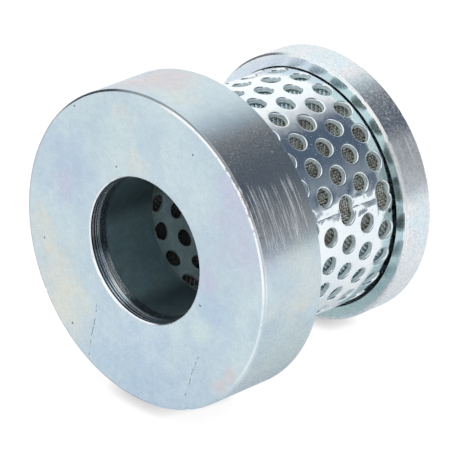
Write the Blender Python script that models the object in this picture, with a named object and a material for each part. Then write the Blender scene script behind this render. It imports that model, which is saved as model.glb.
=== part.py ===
"""A flanged pneumatic muffler: two turned flanges joined by a pair of perforated tubes.

Compressed air enters the bore of the front flange, passes through the holes of the inner tube,
spreads through a wire packing that two layers of gauze hold in place, and leaves through the
holes of the outer tube. The rear flange closes the far end.

The axis of the muffler is +Y. The origin is the centre of the front flange's face, which lies in
the plane y = 0 and faces -Y. Angles round the axis are measured from +Z towards +X.
"""

import math

import bmesh
import bpy

MM = 0.001

# ---- driving dimensions ----------------------------------------------------------------------
GAP = 0.3 * MM  # clearance kept between neighbouring pieces
SEGMENTS = 64  # facets round a large turned piece
FINE_SEGMENTS = 48  # facets round a sleeve or a gauze

FRONT_R = 27.0 * MM
FRONT_WIDTH = 13.34 * MM
EDGE_CHAMFER = 0.35 * MM

MOUTH_R = 12.37 * MM
MOUTH_CHAMFER = 0.18 * MM
LEAD_IN_R = 11.85 * MM  # the narrow end of the tapered lead-in
LEAD_IN_DEPTH = 3.0 * MM

REAR_R = 23.1 * MM
REAR_WIDTH = 6.02 * MM
BODY_LENGTH = 43.66 * MM
REAR_RECESS_DEPTH = 2.06 * MM
REAR_POCKET_DEPTH = 1.5 * MM  # below the floor of the recess

SLEEVE_BORE_R = 11.75 * MM
SLEEVE_WALL = 0.85 * MM
SLEEVE_PROUD = 0.56 * MM  # how far it stands out of the front flange's back

SHEET = 0.8 * MM
HOLE_R = 1.55 * MM
HOLE_SIDES = 8
PITCH = 5.0 * MM  # between neighbouring holes, in a 60 degree staggered pattern
SEAM_GAP = 0.2 * MM

OUTER_TUBE_R = 20.56 * MM
OUTER_TUBE_SEAM = math.radians(69.8)
OUTER_TUBE_ROW_Y = 26.88 * MM  # a row that has a hole close to each side of the seam
OUTER_TUBE_PLAY = 0.2 * MM  # how far the loose outer tube has settled off the axis
OUTER_TUBE_PLAY_ANGLE = math.radians(-65.0)
GROOVE_DEPTH = 2.04 * MM

INNER_TUBE_BORE_R = 12.9 * MM
INNER_TUBE_SEAM = math.radians(77.8)
INNER_TUBE_ROW_Y = 16.27 * MM
INNER_TUBE_FIRST_HOLE = 0.55  # in pitches, from the seam to that row's first hole
INNER_SEAT_DEPTH = 2.94 * MM

GAUZE = 0.4 * MM

# ---- sizes that follow from them -------------------------------------------------------------
ROW_STEP = PITCH * math.sqrt(3) / 2
CELL_R = PITCH / math.sqrt(3)  # corner radius of the hexagon of sheet round each hole

OUTER_TUBE_BORE_R = OUTER_TUBE_R - SHEET
INNER_TUBE_R = INNER_TUBE_BORE_R + SHEET
SLEEVE_R = SLEEVE_BORE_R + SLEEVE_WALL

REAR_Y = BODY_LENGTH - REAR_WIDTH
RECESS_FLOOR_Y = REAR_Y + REAR_RECESS_DEPTH
POCKET_FLOOR_Y = RECESS_FLOOR_Y + REAR_POCKET_DEPTH
GROOVE_FLOOR_Y = FRONT_WIDTH - GROOVE_DEPTH
SEAT_FLOOR_Y = FRONT_WIDTH - INNER_SEAT_DEPTH

PLAY_X = OUTER_TUBE_PLAY * math.sin(OUTER_TUBE_PLAY_ANGLE)
PLAY_Z = OUTER_TUBE_PLAY * math.cos(OUTER_TUBE_PLAY_ANGLE)
LOOSE_FIT = GAP + OUTER_TUBE_PLAY  # clearance round the outer tube, which takes up its play

PACK_START_Y = FRONT_WIDTH + GAP
PACK_END_Y = RECESS_FLOOR_Y - GAP


# ---- making objects --------------------------------------------------------------------------
def clear_scene():
    for obj in list(bpy.data.objects):
        bpy.data.objects.remove(obj, do_unlink=True)


def metal(name, colour, roughness):
    """A plain Principled metal."""
    material = bpy.data.materials.new(name)
    material.use_nodes = True
    shader = material.node_tree.nodes["Principled BSDF"]
    shader.inputs["Base Color"].default_value = (*colour, 1.0)
    shader.inputs["Metallic"].default_value = 1.0
    shader.inputs["Roughness"].default_value = roughness
    return material


def add_object(name, bm, material, place=(0.0, 0.0, 0.0)):
    """Turns a closed bmesh into a smooth-shaded object of that name."""
    bmesh.ops.recalc_face_normals(bm, faces=bm.faces)
    mesh = bpy.data.meshes.new(name)
    bm.to_mesh(mesh)
    bm.free()
    mesh.shade_smooth()
    mesh.set_sharp_from_angle(angle=math.radians(30.0))
    mesh.materials.append(material)
    obj = bpy.data.objects.new(name, mesh)
    obj.location = place
    bpy.context.scene.collection.objects.link(obj)
    return obj


def turned(profile, segments, ring=True):
    """Spins a list of (radius, y) points round the Y axis.

    A ring's outline closes on itself. Otherwise the outline starts and ends on the axis.
    """
    bm = bmesh.new()
    verts = [bm.verts.new((radius, y, 0.0)) for radius, y in profile]
    edges = [bm.edges.new(pair) for pair in zip(verts, verts[1:])]
    if ring:
        edges.append(bm.edges.new((verts[-1], verts[0])))
    bmesh.ops.spin(
        bm,
        geom=verts + edges,
        cent=(0.0, 0.0, 0.0),
        axis=(0.0, 1.0, 0.0),
        angle=2 * math.pi,
        steps=segments,
        use_duplicate=False,
    )
    bmesh.ops.remove_doubles(bm, verts=bm.verts, dist=1e-6)
    return bm


def tube(inner_r, outer_r, start_y, end_y):
    """A plain round tube along Y."""
    corners = [(inner_r, start_y), (outer_r, start_y), (outer_r, end_y), (inner_r, end_y)]
    return turned(corners, FINE_SEGMENTS)


def ring_points(bm, centre, radius, sides, first_angle):
    """A closed loop of edges: a regular polygon in the sheet's flat (u, v) plane."""
    verts = []
    for side in range(sides):
        angle = first_angle + 2 * math.pi * side / sides
        u = centre[0] + radius * math.cos(angle)
        v = centre[1] + radius * math.sin(angle)
        verts.append(bm.verts.new((u, v, 0.0)))
    return [bm.edges.new((verts[i], verts[(i + 1) % sides])) for i in range(sides)]


def flat_sheet(width, start_v, end_v, row_v, first_hole):
    """Perforated sheet laid flat: u from 0 to width across, v along, with its thickness in z.

    row_v is the place of one row of holes, and first_hole is the distance, in pitches, from the
    edge u = 0 to a hole of that row. The pattern runs on past all four edges, which cut it.
    """
    bm = bmesh.new()
    first_row = math.floor((start_v - row_v) / ROW_STEP) - 1
    last_row = math.ceil((end_v - row_v) / ROW_STEP) + 1
    holes_across = math.ceil(width / PITCH) + 1
    for row in range(first_row, last_row + 1):
        stagger = 0.5 * (row % 2)
        for column in range(-2, holes_across + 1):
            centre = ((first_hole + stagger + column) * PITCH, row_v + row * ROW_STEP)
            cell = ring_points(bm, centre, CELL_R, 6, math.radians(30.0))
            hole = ring_points(bm, centre, HOLE_R, HOLE_SIDES, math.radians(22.5))
            bmesh.ops.bridge_loops(bm, edges=cell + hole)
    bmesh.ops.remove_doubles(bm, verts=bm.verts, dist=1e-6)
    cuts = [
        ((0.0, 0.0, 0.0), (-1.0, 0.0, 0.0)),
        ((width, 0.0, 0.0), (1.0, 0.0, 0.0)),
        ((0.0, start_v, 0.0), (0.0, -1.0, 0.0)),
        ((0.0, end_v, 0.0), (0.0, 1.0, 0.0)),
    ]
    for point, outwards in cuts:
        everything = bm.verts[:] + bm.edges[:] + bm.faces[:]
        bmesh.ops.bisect_plane(
            bm, geom=everything, dist=1e-7, plane_co=point, plane_no=outwards, clear_outer=True
        )
    bmesh.ops.remove_doubles(bm, verts=bm.verts, dist=5e-6)
    thick = bmesh.ops.extrude_face_region(bm, geom=bm.faces[:], use_keep_orig=True)
    top = [item for item in thick["geom"] if isinstance(item, bmesh.types.BMVert)]
    bmesh.ops.translate(bm, verts=top, vec=(0.0, 0.0, SHEET))
    return bm


def sheet_width(bore_r):
    """The width of sheet that rolls into a tube of that bore, measured halfway through it."""
    return 2 * math.pi * (bore_r + SHEET / 2) - SEAM_GAP


def even_first_hole(width):
    """The first hole's offset, in pitches, that puts a row's end holes equally close to a seam."""
    return (width / PITCH - math.floor(width / PITCH)) / 2


def perforated_tube(bore_r, start_y, end_y, seam_angle, row_y, first_hole):
    """A perforated sheet rolled round the Y axis until its edges nearly meet at the seam."""
    middle_r = bore_r + SHEET / 2
    bm = flat_sheet(sheet_width(bore_r), start_y, end_y, row_y, first_hole)
    for vert in bm.verts:
        u, v, depth = vert.co
        angle = seam_angle + (u + SEAM_GAP / 2) / middle_r
        radius = bore_r + depth
        vert.co = (radius * math.sin(angle), v, radius * math.cos(angle))
    return bm


# ---- the pieces ------------------------------------------------------------------------------
def front_flange(material):
    """The thick mounting ring, with a lead-in at its mouth and seats for both tubes."""
    seat_r = INNER_TUBE_R + GAP
    sleeve_seat_r = SLEEVE_R + GAP
    groove_in_r = OUTER_TUBE_BORE_R - LOOSE_FIT
    groove_out_r = OUTER_TUBE_R + LOOSE_FIT
    profile = [
        (MOUTH_R + MOUTH_CHAMFER, 0.0),
        (MOUTH_R, MOUTH_CHAMFER),
        (LEAD_IN_R, LEAD_IN_DEPTH),
        (sleeve_seat_r, LEAD_IN_DEPTH),
        (sleeve_seat_r, SEAT_FLOOR_Y),
        (seat_r, SEAT_FLOOR_Y),
        (seat_r, FRONT_WIDTH),
        (groove_in_r, FRONT_WIDTH),
        (groove_in_r, GROOVE_FLOOR_Y),
        (groove_out_r, GROOVE_FLOOR_Y),
        (groove_out_r, FRONT_WIDTH),
        (FRONT_R - EDGE_CHAMFER, FRONT_WIDTH),
        (FRONT_R, FRONT_WIDTH - EDGE_CHAMFER),
        (FRONT_R, EDGE_CHAMFER),
        (FRONT_R - EDGE_CHAMFER, 0.0),
    ]
    add_object("front_flange", turned(profile, SEGMENTS), material)


def rear_flange(material):
    """The closing disc, with a recess for the outer tube and a pocket for the inner one."""
    recess_r = OUTER_TUBE_R + LOOSE_FIT
    pocket_r = INNER_TUBE_R + GAP
    profile = [
        (0.0, POCKET_FLOOR_Y),
        (pocket_r, POCKET_FLOOR_Y),
        (pocket_r, RECESS_FLOOR_Y),
        (recess_r, RECESS_FLOOR_Y),
        (recess_r, REAR_Y),
        (REAR_R - EDGE_CHAMFER, REAR_Y),
        (REAR_R, REAR_Y + EDGE_CHAMFER),
        (REAR_R, BODY_LENGTH - EDGE_CHAMFER),
        (REAR_R - EDGE_CHAMFER, BODY_LENGTH),
        (0.0, BODY_LENGTH),
    ]
    add_object("rear_flange", turned(profile, SEGMENTS, ring=False), material)


def inlet_sleeve(material):
    """The smooth tube pressed into the front flange behind its lead-in."""
    start_y = LEAD_IN_DEPTH + GAP
    end_y = FRONT_WIDTH + SLEEVE_PROUD
    add_object("inlet_sleeve", tube(SLEEVE_BORE_R, SLEEVE_R, start_y, end_y), material)


def inner_tube(material):
    """The perforated tube that the air leaves the bore through."""
    bm = perforated_tube(
        bore_r=INNER_TUBE_BORE_R,
        start_y=SEAT_FLOOR_Y + GAP,
        end_y=POCKET_FLOOR_Y - GAP,
        seam_angle=INNER_TUBE_SEAM,
        row_y=INNER_TUBE_ROW_Y,
        first_hole=INNER_TUBE_FIRST_HOLE,
    )
    add_object("inner_tube", bm, material)


def outer_tube(material):
    """The perforated tube between the flanges, loose in its groove and its recess."""
    bm = perforated_tube(
        bore_r=OUTER_TUBE_BORE_R,
        start_y=GROOVE_FLOOR_Y + GAP,
        end_y=RECESS_FLOOR_Y - GAP,
        seam_angle=OUTER_TUBE_SEAM,
        row_y=OUTER_TUBE_ROW_Y,
        first_hole=even_first_hole(sheet_width(OUTER_TUBE_BORE_R)),
    )
    add_object("outer_tube", bm, material, place=(PLAY_X, 0.0, PLAY_Z))


def gauzes(material):
    """The two layers of woven wire that hold the packing between the tubes."""
    inner_r = INNER_TUBE_R + GAP
    inner = tube(inner_r, inner_r + GAUZE, PACK_START_Y, PACK_END_Y)
    add_object("inner_gauze", inner, material)
    outer_r = OUTER_TUBE_BORE_R - GAP
    outer = tube(outer_r - GAUZE, outer_r, PACK_START_Y, PACK_END_Y)
    add_object("outer_gauze", outer, material, place=(PLAY_X, 0.0, PLAY_Z))


def packing(material):
    """The sleeve of wire wool that slows the air."""
    inner_r = INNER_TUBE_R + GAUZE + 2 * GAP
    outer_r = OUTER_TUBE_BORE_R - GAUZE - GAP - LOOSE_FIT
    add_object("packing", tube(inner_r, outer_r, PACK_START_Y, PACK_END_Y), material)


def main():
    clear_scene()
    plated = metal("zinc_plated_steel", (0.72, 0.78, 0.82), 0.28)
    bright = metal("bright_zinc_sheet", (0.76, 0.80, 0.84), 0.18)
    drawn = metal("drawn_steel", (0.34, 0.42, 0.47), 0.35)
    wire = metal("steel_wire", (0.42, 0.39, 0.34), 0.45)
    wool = metal("steel_wool", (0.20, 0.18, 0.15), 0.60)
    front_flange(plated)
    rear_flange(plated)
    inlet_sleeve(drawn)
    inner_tube(drawn)
    outer_tube(bright)
    gauzes(wire)
    packing(wool)


main()
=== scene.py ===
"""The finished look of the pneumatic muffler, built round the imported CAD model.

Every CAD node is replaced by a finer piece of the same size: lathe-turned flanges with worn edges,
punched and rolled sheet with rounded hole edges, woven wire cloth and tangled wool. The muffler's
axis is +Y and angles round it run from +Z towards +X, as in the CAD model.
"""

import math
import random

import bmesh
import bpy
import numpy as np
from mathutils import Matrix, Vector, noise


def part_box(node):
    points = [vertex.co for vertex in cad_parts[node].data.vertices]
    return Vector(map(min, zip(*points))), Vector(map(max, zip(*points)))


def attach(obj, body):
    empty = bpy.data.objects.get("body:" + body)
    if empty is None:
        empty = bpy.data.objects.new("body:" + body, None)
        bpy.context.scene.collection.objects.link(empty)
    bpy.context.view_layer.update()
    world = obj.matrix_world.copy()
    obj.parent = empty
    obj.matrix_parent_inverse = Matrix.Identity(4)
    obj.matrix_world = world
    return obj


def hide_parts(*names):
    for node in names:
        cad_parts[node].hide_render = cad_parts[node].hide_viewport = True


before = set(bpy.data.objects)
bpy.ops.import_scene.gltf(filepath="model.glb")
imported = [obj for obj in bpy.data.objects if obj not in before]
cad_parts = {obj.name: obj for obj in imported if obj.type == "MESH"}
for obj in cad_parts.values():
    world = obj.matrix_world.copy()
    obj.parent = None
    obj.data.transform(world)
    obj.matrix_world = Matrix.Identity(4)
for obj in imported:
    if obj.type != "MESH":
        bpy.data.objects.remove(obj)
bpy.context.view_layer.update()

MM = 0.001
BODY = "root"

# ---- sizes read from the CAD model ----
_, FRONT_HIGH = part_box("front_flange")
REAR_LOW, REAR_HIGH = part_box("rear_flange")
_, SLEEVE_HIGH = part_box("inlet_sleeve")
INNER_LOW, INNER_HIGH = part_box("inner_tube")
OUTER_LOW, OUTER_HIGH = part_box("outer_tube")
PACK_LOW, PACK_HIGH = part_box("packing")

FRONT_R = FRONT_HIGH.z
FRONT_WIDTH = FRONT_HIGH.y
REAR_R = REAR_HIGH.z
REAR_Y = REAR_LOW.y
BODY_LENGTH = REAR_HIGH.y

# ---- sizes repeated from the CAD source ----
EDGE_CHAMFER = 0.35 * MM
MOUTH_R = 12.37 * MM
MOUTH_CHAMFER = 0.18 * MM
LEAD_IN_R = 11.85 * MM
LEAD_IN_DEPTH = 3.0 * MM
SLEEVE_BORE_R = 11.75 * MM
SLEEVE_R = 12.6 * MM
SHEET = 0.8 * MM
HOLE_R = 1.55 * MM
PITCH = 5.0 * MM
ROW_STEP = PITCH * math.sqrt(3) / 2
OUTER_TUBE_R = 20.56 * MM
OUTER_TUBE_BORE_R = OUTER_TUBE_R - SHEET
OUTER_TUBE_SEAM = math.radians(69.8)
OUTER_TUBE_ROW_Y = 26.88 * MM
OUTER_TUBE_PLAY = 0.2 * MM
OUTER_TUBE_PLAY_ANGLE = math.radians(-65.0)
INNER_TUBE_BORE_R = 12.9 * MM
INNER_TUBE_R = INNER_TUBE_BORE_R + SHEET
INNER_TUBE_SEAM = math.radians(77.8)
INNER_TUBE_ROW_Y = 16.27 * MM
INNER_TUBE_FIRST_HOLE = 0.55
GROOVE_DEPTH = 2.04 * MM
INNER_SEAT_DEPTH = 2.94 * MM
RECESS_DEPTH = 2.06 * MM
POCKET_DEPTH = 1.5 * MM

# how the outer tube lies off the axis
PLAY = Vector((
    OUTER_TUBE_PLAY * math.sin(OUTER_TUBE_PLAY_ANGLE),
    0.0,
    OUTER_TUBE_PLAY * math.cos(OUTER_TUBE_PLAY_ANGLE),
))

# ---- clearances, drawn closer than the CAD source's 0.3 mm ----
FIT = 0.03 * MM  # at a pressed joint
LOOSE_FIT = 0.3 * MM  # round the outer tube, which lies 0.2 mm off the axis
SEAM_GAP = 0.06 * MM

# ---- how the muffler lies and is seen ----
# It rests on the rims of both flanges, so the table slopes against its axis.
REST_TILT = math.atan2(FRONT_R - REAR_R, BODY_LENGTH - FRONT_WIDTH)
CAMERA_AZIMUTH = math.radians(44.35)
CAMERA_ELEVATION = math.radians(32.96)
CAMERA_AIM = Vector((0.13, 20.21, -2.49)) * MM
CAMERA_DISTANCE = 820.7 * MM
CAMERA_LENS = 391.3
CAMERA_CLIP = (0.01, 10.0)
SENSOR = 36.0

# ---- light and table ----
ROOM_LIGHT = 1.05
BACKDROP = 1.2  # what the camera sees of the room
WHITE = (1.0, 1.0, 1.0)
TABLE_R = 350 * MM
TABLE_SIDES = 64
TABLE_COLOUR = (0.9, 0.9, 0.9)
TABLE_FILL = 0.30
TABLE_WHITE = 1.08  # what the camera sees of the table away from the muffler
SHADOWS = [(2.4 * MM, 0.50), (6.0 * MM, 0.84)]  # (reach, darkest) of the painted shadows round a contact
SHADOW_SAMPLES = 16
OPEN_SKY = 0.92  # a spot with this share of open sky is unshaded
# A dark blue opening behind the muffler on its right, lighter towards the table. Each pair is
# where it fades in or out: a bearing from the table's +Y in degrees or a height from -1 to 1.
OPENING_LEFT = (-32.0, 8.0)
OPENING_RIGHT = (112.0, 140.0)
OPENING_TOP = (0.80, 0.93)
OPENING_BOTTOM = (-0.070, -0.058)
OPENING_RISE = (0.0, 0.5)
OPENING_LOW = (0.40, 0.43, 0.47)
OPENING_HIGH = (0.08, 0.11, 0.155)
# A low dark card on the left, which draws the thin dark lines along edges.
CARD_LEFT = (-128.0, -118.0)
CARD_RIGHT = (-82.0, -70.0)
CARD_TOP = (0.36, 0.46)
CARD_COLOUR = (0.12, 0.13, 0.15)

# ---- fineness ----
TURNS = 900  # facets round a flange
SLEEVE_TURNS = 480
WOOL_TURNS = 180
CORNER_STEPS = 4
OUTER_HOLE_SIDES = 36
INNER_HOLE_SIDES = 24
WIRE_SIDES = 4
SHARP_ANGLE = math.radians(38.0)
SAME_POINT = 0.0001 * MM
SEWN = 0.001 * MM  # joins the edges of two cells of sheet

# ---- edges, turning marks and dents ----
# radii of rounded corners
WORN = 0.10 * MM
CRISP = 0.0  # left as cut
LIP_EDGE = 0.05 * MM
GROOVE_EDGE = 0.10 * MM
RECESS_EDGE = 0.06 * MM
SLEEVE_EDGE = 0.08 * MM
SLEEVE_LIP = 0.14 * MM
ARC_SHARE = 0.3  # the most of a side that one arc may take
GUARD_SHARE = 0.5  # of an arc's reach, to the guard point beside it
LIP_RIDGES = 22
LIP_RIDGE = 0.012 * MM
LIP_MARK = 0.07 * MM
LIP_MARKS = (3, 7, 10, 12)  # the ridges that are cut deeper
NICK_REACH = 0.55 * MM
NICK_STEPS = (0.7 * MM, 1.5 * MM)  # from a handled edge, where its dents have died out
# (angle in degrees, length and depth in mm) of each dent in the flanges' handled edges
FRONT_NICKS = [
    (44.6, 1.5, 0.16),
    (50.1, 1.0, 0.12),
    (54.0, 1.6, 0.14),
    (62.0, 0.8, 0.08),
    (136.2, 1.0, 0.15),
    (152.4, 1.2, 0.16),
    (-128.0, 0.9, 0.08),
]
REAR_NICKS = [(28.0, 0.9, 0.08), (47.0, 1.2, 0.10), (63.0, 0.8, 0.07)]
# pits, and the two ends of each hairline scratch, in the mounting face (x, y, z in mm)
FACE_PITS = [
    (-17.5, 0.0, 18.8), (-7.1, 0.0, 12.1), (9.0, 0.0, 21.0),
    (-21.8, 0.0, -7.2), (-13.8, 0.0, -19.7), (13.7, 0.0, -4.2),
]
FACE_SCRATCHES = [
    ((-8.8, 0.0, -14.0), (-9.6, 0.0, -23.8)),
    ((14.3, 0.0, -13.3), (12.2, 0.0, -22.1)),
]

# ---- sheet, wire and wool ----
BURR = 0.10 * MM  # round the outer tube's holes, on its inner face
OUTER_CURL = 3.0 * MM  # how much of the sheet is bent too tightly at the seam
INNER_CURL = 1.0 * MM
MESH_SPACING = 0.5 * MM
WIRE_R = 0.16 * MM
GAUZE_DEPTH = 0.70 * MM  # from a tube's surface to the middle of the cloth
WOOL_BORE_R = INNER_TUBE_R + 1.1 * MM
WOOL_R = PACK_HIGH.x - 0.3 * MM
WOOL_SEED = 11
LUMP = 0.8 * MM
LUMP_DEPTH = 0.5 * MM
LUMP_SCALE = 0.9
LUMP_FRACTAL = (0.8, 2.2, 4)  # the fractal noise's dimension, lacunarity and octaves
STRANDS = 260
STRAND_RADII = (WOOL_BORE_R + 0.1 * MM, WOOL_R - 0.15 * MM)
STRAND_POINTS = 40
STRAND_STEP = 0.45 * MM
STRAND_R = 0.05 * MM
STRAND_WANDER = 0.6  # the most that a strand turns at each step, in radians
STRAND_LIFT = 0.06 * MM
STRAND_MARGIN = 0.5 * MM  # kept from the packing's ends

# ---- colours ----
BLUE = (0.47, 0.60, 0.74)
VIOLET = (0.58, 0.605, 0.735)
STRAW = (0.72, 0.73, 0.66)
PALE = (0.66, 0.77, 0.77)
PINK = (0.70, 0.62, 0.63)
# soft tinted clouds in the front flange's plating: (x, y, z and size in mm, colour)
CLOUDS = [
    (3.0, 0.0, -21.0, 11.0, BLUE),
    (-18.0, 0.0, 8.0, 6.0, BLUE),
    (16.0, 0.0, -4.0, 5.0, BLUE),
    (-7.5, 0.0, 17.6, 5.0, PALE),
    (-3.3, 0.0, 14.0, 2.5, STRAW),
    (-19.2, 0.0, 4.4, 2.6, VIOLET),
    (18.7, 0.0, 17.3, 5.0, VIOLET),
    (20.4, 0.0, 9.7, 5.5, VIOLET),
    (14.8, 0.0, 1.2, 3.0, VIOLET),
    (-18.9, 0.0, -12.4, 6.5, STRAW),
    (-15.3, 0.0, -17.1, 4.5, STRAW),
    (-23.6, 0.0, -5.7, 3.5, STRAW),
    (14.0, 0.0, -8.6, 2.4, PALE),
    (19.2, 0.0, -16.4, 1.8, PINK),
    (20.9, 0.0, -13.6, 1.4, PINK),
    (-7.5, 7.5, 26.0, 6.0, PINK),
    (26.5, 9.0, -1.0, 1.5, STRAW),
    (25.0, 8.0, -10.0, 7.0, PALE),
]
PLATING_DARK = (0.54, 0.66, 0.735)
PLATING_LIGHT = (0.62, 0.73, 0.775)
REAR_COOL = (0.80, 0.91, 0.96)
REAR_PALE = (0.92, 0.93, 0.95)
REAR_WARM = (0.95, 0.93, 0.91)
SHOULDER_BLUE = (0.74, 0.81, 0.90)
SHOULDER_TEAL = (0.58, 0.76, 0.76)
RUBBED_GREY = (0.66, 0.65, 0.62)
RIM_SHADE_VIOLET = (0.40, 0.38, 0.46)
SPARKLE = (0.96, 0.97, 0.97)
PAINTED_LIP_GLINT = (0.96, 0.99, 1.0)
STREAK_GLINT = (0.93, 0.97, 0.99)
SPECK = (0.88, 0.90, 0.91)
WORN_HIGHLIT_LINE = (0.94, 0.95, 0.96)
SHEET_DARK = (0.85, 0.92, 0.96)
SHEET_LIGHT = (0.92, 0.965, 0.98)
SHEARED_WALL = (0.90, 0.99, 1.0)
SLEEVE_DARK = (0.60, 0.88, 1.0)
SLEEVE_LIGHT = (0.70, 0.95, 1.0)
TUBE_DARK = (0.71, 0.95, 1.0)
TUBE_LIGHT = (0.80, 0.99, 1.0)
CUT_END = (0.92, 0.88, 0.74)
OUTER_WIRE = ((0.36, 0.34, 0.29), (0.62, 0.66, 0.62), (0.72, 0.88, 0.92))  # dark and light in the painted shade band, unshaded colour elsewhere
INNER_WIRE = ((0.13, 0.13, 0.13), (0.22, 0.22, 0.21), (0.18, 0.18, 0.18))
WIRE_FLECK = (0.85, 0.84, 0.80)
WOOL_DARK = (0.10, 0.09, 0.08)
WOOL_LIGHT = (0.40, 0.37, 0.32)

# ---- where the finish, and the painted highlights and shade, change ----
BORE_LIT_SIDE = math.radians(-128.0)  # the bore's walls are painted darker as shade away from this angle
LIP_GLINT = math.radians(-138.0)  # where the lead-in carries a painted glint on its turning marks, and is painted darker away from it
RIM_SHADE_ANGLE = math.radians(-125.0)  # the middle of the painted violet shade line along the front edge
# (start, end, fade) of a band round the axis, in degrees
FRONT_WEAR_HIGHLIGHT = (10.0, 80.0, 14.0)
FRONT_WEAR_HIGHLIGHT_TAIL = (75.0, 108.0, 24.0)
REAR_WEAR_HIGHLIGHT = (4.0, 88.0, 16.0)
BROKEN_WEAR_HIGHLIGHT = (38.0, 58.0, 6.0)
FRONT_HANDLED = (52.0, 64.0, 15.0)
REAR_HANDLED = (50.0, 64.0, 8.0)
FRONT_RUBBED = (30.0, 60.0, 10.0)
REAR_RUBBED = (52.0, 66.0, 12.0)
REAR_WARMER = (32.0, 58.0, 12.0)
SPARKLING = (28.0, 58.0, 10.0)
CHAMFER_SHADE = (-60.0, 52.0, 10.0)
SHOULDER_DARK_REFLECTIONS = [(57.0, 64.0, 4.0), (77.0, 84.0, 4.0)]
WIRE_SHADE_BAND = (22.0, 84.0, 16.0)
# (start, end, fade) of a band along the axis or of a ring, in mm
HANDLED_SIDE = (1.5, 10.5, 2.0)
RUBBED_SIDE = (0.3, 12.6, 0.2)
LIP_RING = (11.0, 12.35, 0.05)
LIP_LENGTH = (0.2, 3.1, 0.1)
RECESS_RING = (13.0, 20.82, 0.03)
RECESS_LENGTH = (REAR_Y / MM + 0.12, 42.0, 0.1)
SHOULDER_RING = (20.9, 22.4, 0.2)
SHOULDER_FACE = (37.5, 37.75, 0.1)


# ======== placing and joining pieces ========
def add_piece(mesh, material, node):
    """Makes a smooth-shaded object, named after its mesh, that stands for one CAD node."""
    mesh.materials.append(material)
    mesh.shade_smooth()
    mesh.set_sharp_from_angle(angle=SHARP_ANGLE)
    piece = bpy.data.objects.new(mesh.name, mesh)
    bpy.context.scene.collection.objects.link(piece)
    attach(piece, BODY)
    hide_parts(node)


def mesh_from(name, verts, faces):
    """A mesh from an array of points and an array of four-cornered faces."""
    mesh = bpy.data.meshes.new(name)
    mesh.from_pydata(verts.tolist(), [], faces.tolist())
    mesh.update()
    return mesh


def points_of(mesh):
    """The mesh's points as an array."""
    flat = np.empty(len(mesh.vertices) * 3)
    mesh.vertices.foreach_get("co", flat)
    return flat.reshape(-1, 3)


def polar(radius, angle):
    """x and z of a point at that radius and angle round the axis."""
    return radius * math.sin(angle), radius * math.cos(angle)


# ======== turned pieces ========
def rounded(outline, closed=True):
    """Rounds the corners of an outline of (radius, y, corner radius) points with small arcs.

    A guard point on each side of an arc keeps smooth shading off the flat faces beside it.
    """
    points = [Vector(p[:2]) for p in outline]
    count = len(points)
    result = []
    for i, corner in enumerate(points):
        on_axis = not closed and i in (0, count - 1)
        if on_axis or outline[i][2] == CRISP:
            result.append(corner)
            continue
        before = points[i - 1] - corner
        after = points[(i + 1) % count] - corner
        half = before.angle(after) / 2
        room = ARC_SHARE * min(before.length, after.length)
        reach = min(outline[i][2] / math.tan(half), room)
        start = corner + before.normalized() * reach
        end = corner + after.normalized() * reach
        guard = GUARD_SHARE * reach
        result.append(start + before.normalized() * guard)
        for step in range(CORNER_STEPS + 1):
            t = step / CORNER_STEPS
            result.append(start * (1 - t) ** 2 + corner * 2 * t * (1 - t) + end * t**2)
        result.append(end + after.normalized() * guard)
    return result


def turned(name, outline, closed=True, turns=TURNS):
    """Turns a (radius, y) outline round the axis. An open outline starts and ends on the axis."""
    rings = np.array([[p[0], p[1]] for p in outline])
    angles = np.arange(turns) * 2 * math.pi / turns
    radius = rings[:, 0][:, None]
    x = radius * np.sin(angles)
    z = radius * np.cos(angles)
    y = np.repeat(rings[:, 1][:, None], turns, axis=1)
    verts = np.stack([x, y, z], axis=-1).reshape(-1, 3)
    count = len(rings)
    faces = []
    for i in range(count if closed else count - 1):
        here = i * turns + np.arange(turns)
        there = ((i + 1) % count) * turns + np.arange(turns)
        faces.append(np.stack([here, there, np.roll(there, -1), np.roll(here, -1)], axis=-1))
    mesh = mesh_from(name, verts, np.concatenate(faces))
    bm = bmesh.new()
    bm.from_mesh(mesh)
    bmesh.ops.remove_doubles(bm, verts=bm.verts, dist=SAME_POINT)
    bmesh.ops.recalc_face_normals(bm, faces=bm.faces)
    bm.to_mesh(mesh)
    bm.free()
    return mesh


def edge_steps(radius, y, across, along):
    """Outline points that walk away from a handled edge, so that a dent there stays local."""
    return [(radius + across * away, y + along * away, CRISP) for away in NICK_STEPS]


def nicked(mesh, nicks, edge_r, edge_y):
    """Presses small dents into a turned edge."""
    points = points_of(mesh)
    radius = np.hypot(points[:, 0], points[:, 2])
    angle = np.arctan2(points[:, 0], points[:, 2])
    into = edge_y - BODY_LENGTH / 2
    for at, length, depth in nicks:
        turn = (angle - math.radians(at) + math.pi) % (2 * math.pi) - math.pi
        along = turn * edge_r / (length * MM / 2)
        off = np.hypot(radius - edge_r, points[:, 1] - edge_y) / NICK_REACH
        press = depth * MM * np.clip(1 - along**2, 0, 1) * np.clip(1 - off**2, 0, 1)
        points[:, 0] -= press * np.sin(angle)
        points[:, 2] -= press * np.cos(angle)
        points[:, 1] -= press * math.copysign(1.0, into)
    mesh.vertices.foreach_set("co", points.ravel())
    mesh.update()


def lip_ridges():
    """The lead-in's tapered wall: fine turning ridges and the tool's deeper marks."""
    points = []
    for i in range(1, LIP_RIDGES):
        share = i / LIP_RIDGES
        depth = MOUTH_CHAMFER + share * (LEAD_IN_DEPTH - MOUTH_CHAMFER)
        radius = MOUTH_R + share * (LEAD_IN_R - MOUTH_R)
        cut = LIP_RIDGE if i % 2 else 0.0
        if i in LIP_MARKS:
            cut = LIP_MARK
        points.append((radius + cut, depth, CRISP))
    return points


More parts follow.
